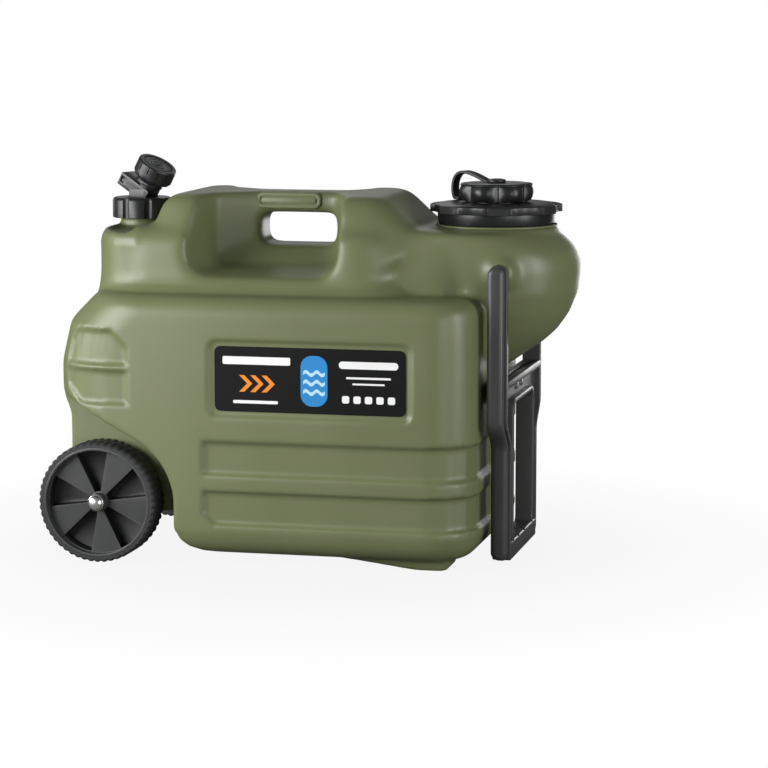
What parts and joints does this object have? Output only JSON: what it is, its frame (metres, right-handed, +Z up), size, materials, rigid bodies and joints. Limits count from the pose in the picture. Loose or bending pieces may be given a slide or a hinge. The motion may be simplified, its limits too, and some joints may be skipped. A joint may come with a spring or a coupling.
{
  "type": "rolling water carrier",
  "caption": "Blow-moulded water tank with a carry grip, wheels on a through axle, a swinging pull handle, a large screw lid with a tethered vent cap, and a swivelling tap",
  "frame": {"origin": "on the ground under the middle of the whole object", "axes": "+X along the tank towards the filler lid and pull handle, +Y to the back wall, away from the label, +Z up"},
  "size_m": [0.503, 0.2936, 0.3843],
  "materials": {
    "olive_plastic": "blow-moulded olive polyethylene, satin with a fine grain",
    "black_plastic": "black injection-moulded plastic, semi-gloss",
    "wheel_plastic": "black moulded hub, satin",
    "strap_plastic": "soft black strap, satin",
    "tyre": "black notched tread",
    "seal_rubber": "black moulded rubber",
    "label": "printed film, glossy",
    "axle_steel": "turned steel",
    "bright_metal": "bright plated dome"
  },
  "bodies": {
    "tank": {"tank_body": "olive_plastic", "label_plate": "label", "axle": "axle_steel", "axle_washers": "black_plastic", "front_axle_cap": "bright_metal", "rear_axle_cap": "bright_metal"},
    "front_wheel": {"front_wheel_hub": "wheel_plastic", "front_tyre": "tyre"},
    "rear_wheel": {"rear_wheel_hub": "wheel_plastic", "rear_tyre": "tyre"},
    "handle": {"pull_handle": "black_plastic", "handle_pins": "axle_steel", "handle_bumper": "seal_rubber", "bumper_screws": "bright_metal"},
    "lid_ring": {"lid_seal": "seal_rubber"},
    "lid": {"main_lid": "black_plastic", "cap_tether": "strap_plastic"},
    "vent_ring": {"vent_seal": "seal_rubber"},
    "vent": {"vent_cap": "black_plastic", "tether_button": "black_plastic"},
    "tap_ring": {"tap_seal": "seal_rubber"},
    "collar": {"tap_collar": "black_plastic"},
    "tap": {"tap_body": "black_plastic", "tap_gland": "black_plastic"},
    "valve": {"tap_washer": "seal_rubber"},
    "knob": {"tap_knob": "black_plastic", "knob_disc": "black_plastic", "tap_spindle": "axle_steel"}
  },
  "joints": [
    {"name": "front_wheel_spin", "type": "hinge", "parent": "tank", "child": "front_wheel", "pos_m": [-0.1935, -0.1235, 0.058], "axis": [0, 1, 0], "continuous": true},
    {"name": "rear_wheel_spin", "type": "hinge", "parent": "tank", "child": "rear_wheel", "pos_m": [-0.1935, 0.1235, 0.058], "axis": [0, 1, 0], "continuous": true},
    {"name": "handle_swing", "type": "hinge", "parent": "tank", "child": "handle", "pos_m": [0.188, 0, 0.281], "axis": [0, -1, 0], "range_deg": [0, 115]},
    {"name": "lid_lift", "type": "slide", "parent": "tank", "child": "lid_ring", "axis": [0, 0, 1], "range_m": [0, 0.012]},
    {"name": "lid_turn", "type": "hinge", "parent": "lid_ring", "child": "lid", "pos_m": [0.1685, 0, 0.3436], "axis": [0, 0, 1], "range_deg": [0, 541]},
    {"name": "vent_lift", "type": "slide", "parent": "lid", "child": "vent_ring", "axis": [0, 0, 1], "range_m": [0, 0.008], "deforming": ["cap_tether"]},
    {"name": "vent_turn", "type": "hinge", "parent": "vent_ring", "child": "vent", "pos_m": [0.1685, 0, 0.3579], "axis": [0, 0, 1], "range_deg": [0, 721]},
    {"name": "tap_lift", "type": "slide", "parent": "tank", "child": "tap_ring", "axis": [0, 0, 1], "range_m": [0, 0.009]},
    {"name": "collar_turn", "type": "hinge", "parent": "tap_ring", "child": "collar", "pos_m": [-0.1885, 0, 0.332], "axis": [0, 0, 1], "range_deg": [0, 1081]},
    {"name": "tap_swivel", "type": "hinge", "parent": "tap_ring", "child": "tap", "pos_m": [-0.1885, 0, 0.341], "axis": [0, 0, 1], "range_deg": [-180, 180]},
    {"name": "valve_lift", "type": "slide", "parent": "tap", "child": "valve", "axis": [0.4728, -0.1628, 0.866], "range_m": [0, 0.003]},
    {"name": "valve_turn", "type": "hinge", "parent": "valve", "child": "knob", "pos_m": [-0.1885, 0, 0.341], "axis": [0.4728, -0.1628, 0.866], "range_deg": [0, 271]}
  ],
  "couplings": [
    {"joint": "lid_turn", "follows": "lid_lift", "rad_per_m": 785.4},
    {"joint": "vent_turn", "follows": "vent_lift", "rad_per_m": 1570.8},
    {"joint": "collar_turn", "follows": "tap_lift", "rad_per_m": 2094.4},
    {"joint": "valve_turn", "follows": "valve_lift", "rad_per_m": 1570.8}
  ]
}
